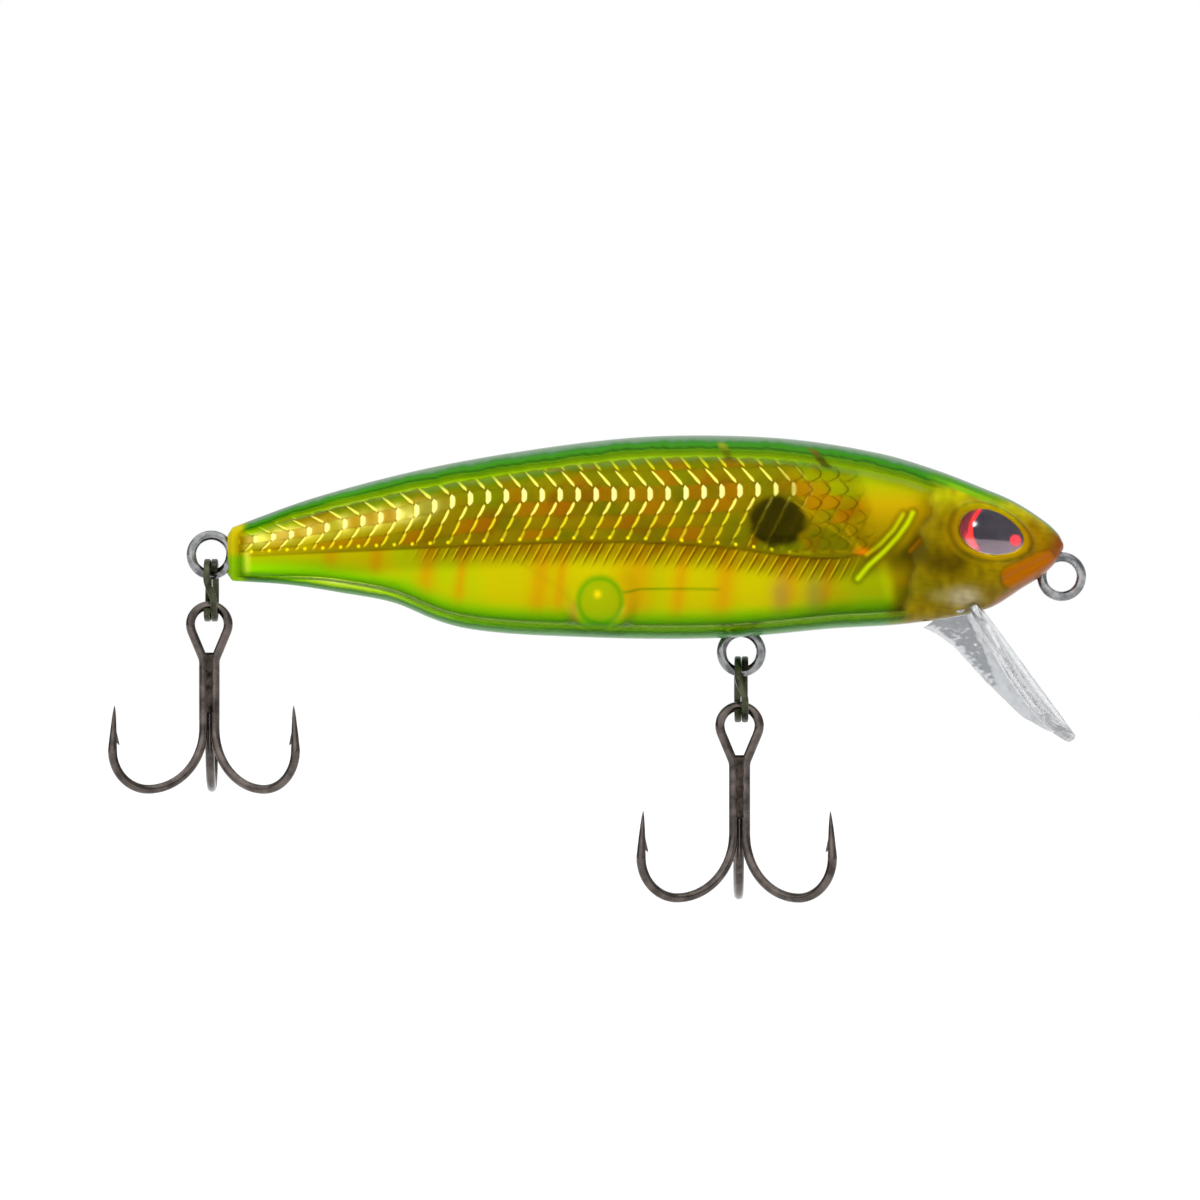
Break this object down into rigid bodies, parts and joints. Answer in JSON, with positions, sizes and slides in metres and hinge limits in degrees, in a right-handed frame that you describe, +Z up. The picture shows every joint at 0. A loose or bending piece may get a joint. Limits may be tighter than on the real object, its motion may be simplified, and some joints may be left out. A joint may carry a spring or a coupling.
{
  "type": "crankbait lure",
  "caption": "Deep-diving hard-bodied fishing lure: hollow clear body with scale film, clear diving lip, wire eyes and treble hooks on split rings.",
  "frame": {"origin": "middle of the nose line tie's eye, from which the lure hangs or is pulled", "axes": "+X forward out of the nose, +Y to the fish's left side, +Z up to its back"},
  "size_m": [0.0818, 0.0164, 0.0391],
  "materials": {
    "tinted_clear_shell": "clear moulded plastic with a transparent green and gold tint, high gloss",
    "gold_scale_film": "pressed metallic film with a fish-scale pattern",
    "printed_eye": "printed disc, black pupil on red",
    "clear_dome": "clear poured resin dome",
    "clear_lip": "clear polycarbonate, moulded",
    "steel_wire": "bright drawn stainless wire",
    "ballast_metal": "plain turned metal",
    "black_ring": "dark olive-black plated flat wire",
    "black_nickel_hook": "black nickel plated wire, polished",
    "braze_metal": "dark braze under black nickel"
  },
  "bodies": {
    "lure_body": {"left_shell": "tinted_clear_shell", "right_shell": "tinted_clear_shell", "left_scale_film": "gold_scale_film", "right_scale_film": "gold_scale_film", "left_eye_disc": "printed_eye", "right_eye_disc": "printed_eye", "left_eye_dome": "clear_dome", "right_eye_dome": "clear_dome", "diving_lip": "clear_lip", "lip_pin": "steel_wire", "line_tie": "steel_wire", "belly_hanger": "steel_wire", "tail_hanger": "steel_wire", "front_ballast": "ballast_metal", "rear_ballast": "ballast_metal"},
    "rattle": {"rattle_ball": "ballast_metal"},
    "belly_ring": {"belly_split_ring": "black_ring"},
    "belly_treble": {"belly_double_hook": "black_nickel_hook", "belly_third_hook": "black_nickel_hook", "belly_hook_braze": "braze_metal"},
    "tail_ring": {"tail_split_ring": "black_ring"},
    "tail_treble": {"tail_double_hook": "black_nickel_hook", "tail_third_hook": "black_nickel_hook", "tail_hook_braze": "braze_metal"}
  },
  "joints": [
    {"name": "rattle_slide", "type": "slide", "parent": "lure_body", "child": "rattle", "axis": [0, 1, 0], "range_m": [-0.0017, 0.0017]},
    {"name": "belly_ring_sway", "type": "hinge", "parent": "lure_body", "child": "belly_ring", "pos_m": [-0.02685, 0, -0.00799], "axis": [1, 0, 0], "range_deg": [-50, 50]},
    {"name": "belly_hook_swing", "type": "hinge", "parent": "belly_ring", "child": "belly_treble", "pos_m": [-0.027, 0, -0.01251], "axis": [0, 1, 0], "range_deg": [-70, 70]},
    {"name": "tail_ring_sway", "type": "hinge", "parent": "lure_body", "child": "tail_ring", "pos_m": [-0.0713, 0, 0.00017], "axis": [1, 0, 0], "range_deg": [-50, 50]},
    {"name": "tail_hook_swing", "type": "hinge", "parent": "tail_ring", "child": "tail_treble", "pos_m": [-0.07145, 0, -0.00401], "axis": [0, 1, 0], "range_deg": [-40, 90]}
  ]
}
